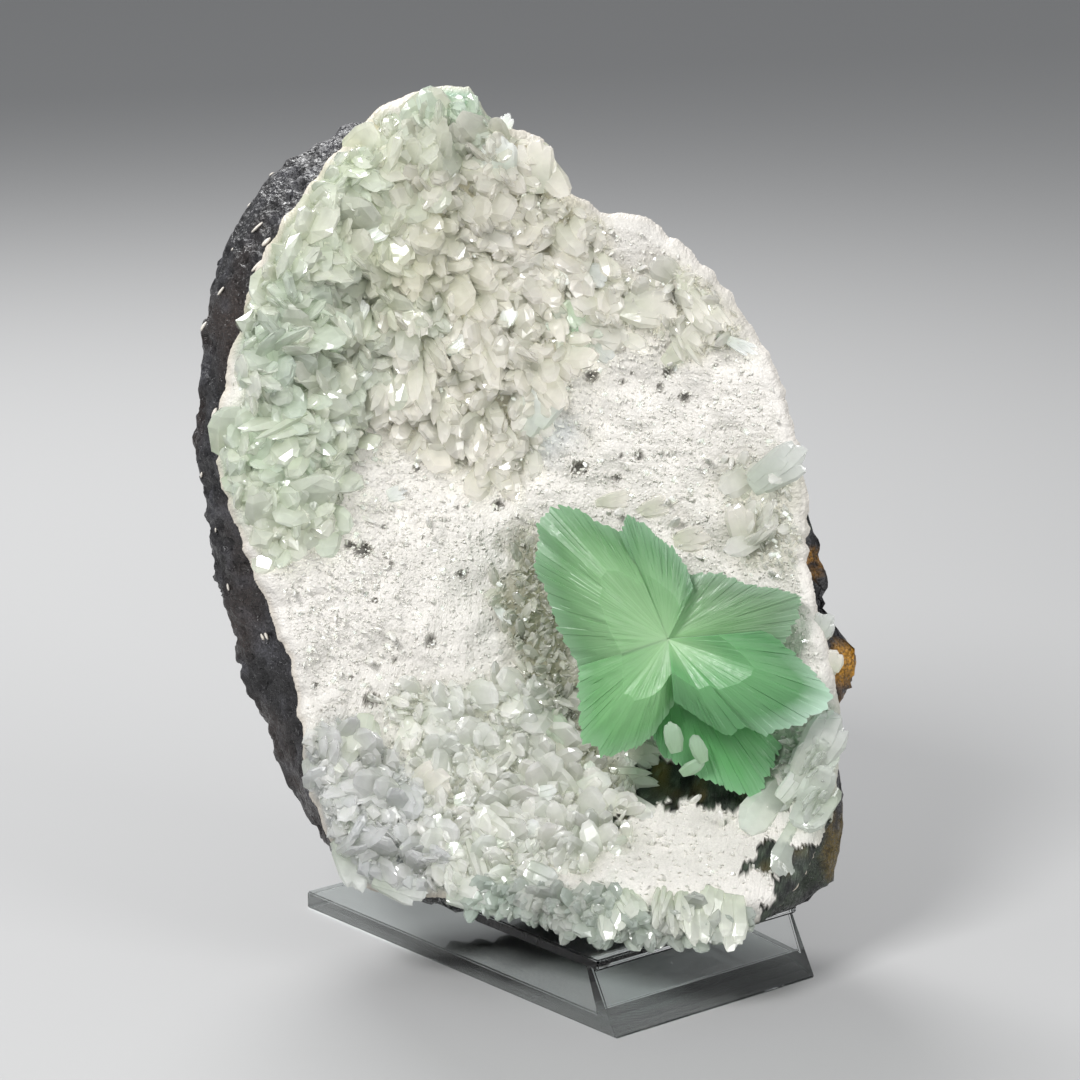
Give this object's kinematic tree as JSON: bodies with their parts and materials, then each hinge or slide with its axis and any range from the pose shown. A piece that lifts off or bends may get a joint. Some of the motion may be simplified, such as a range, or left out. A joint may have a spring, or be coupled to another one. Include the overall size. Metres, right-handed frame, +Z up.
{
  "type": "mineral specimen on stand",
  "caption": "Green radiating apophyllite rosette in a basalt hollow lined with white druse and pale bladed crystals, propped on a clear acrylic display stand",
  "frame": {"origin": "middle of the underside of the whole object's box, where the stand meets the table", "axes": "+Z up, the specimen's crystal face looks towards -Y and slightly up, +X is the viewer's right"},
  "size_m": [0.116, 0.0964, 0.1528],
  "materials": {
    "basalt": "broken, dull and blistered",
    "druse": "sparkling druse with glassy blades",
    "apophyllite": "glassy to silky, translucent",
    "acrylic": "clear and polished"
  },
  "bodies": {
    "root": {"basalt_matrix": "basalt", "druse_crust": "druse", "apophyllite_rosette": "apophyllite", "acrylic_stand": "acrylic"}
  },
  "joints": []
}
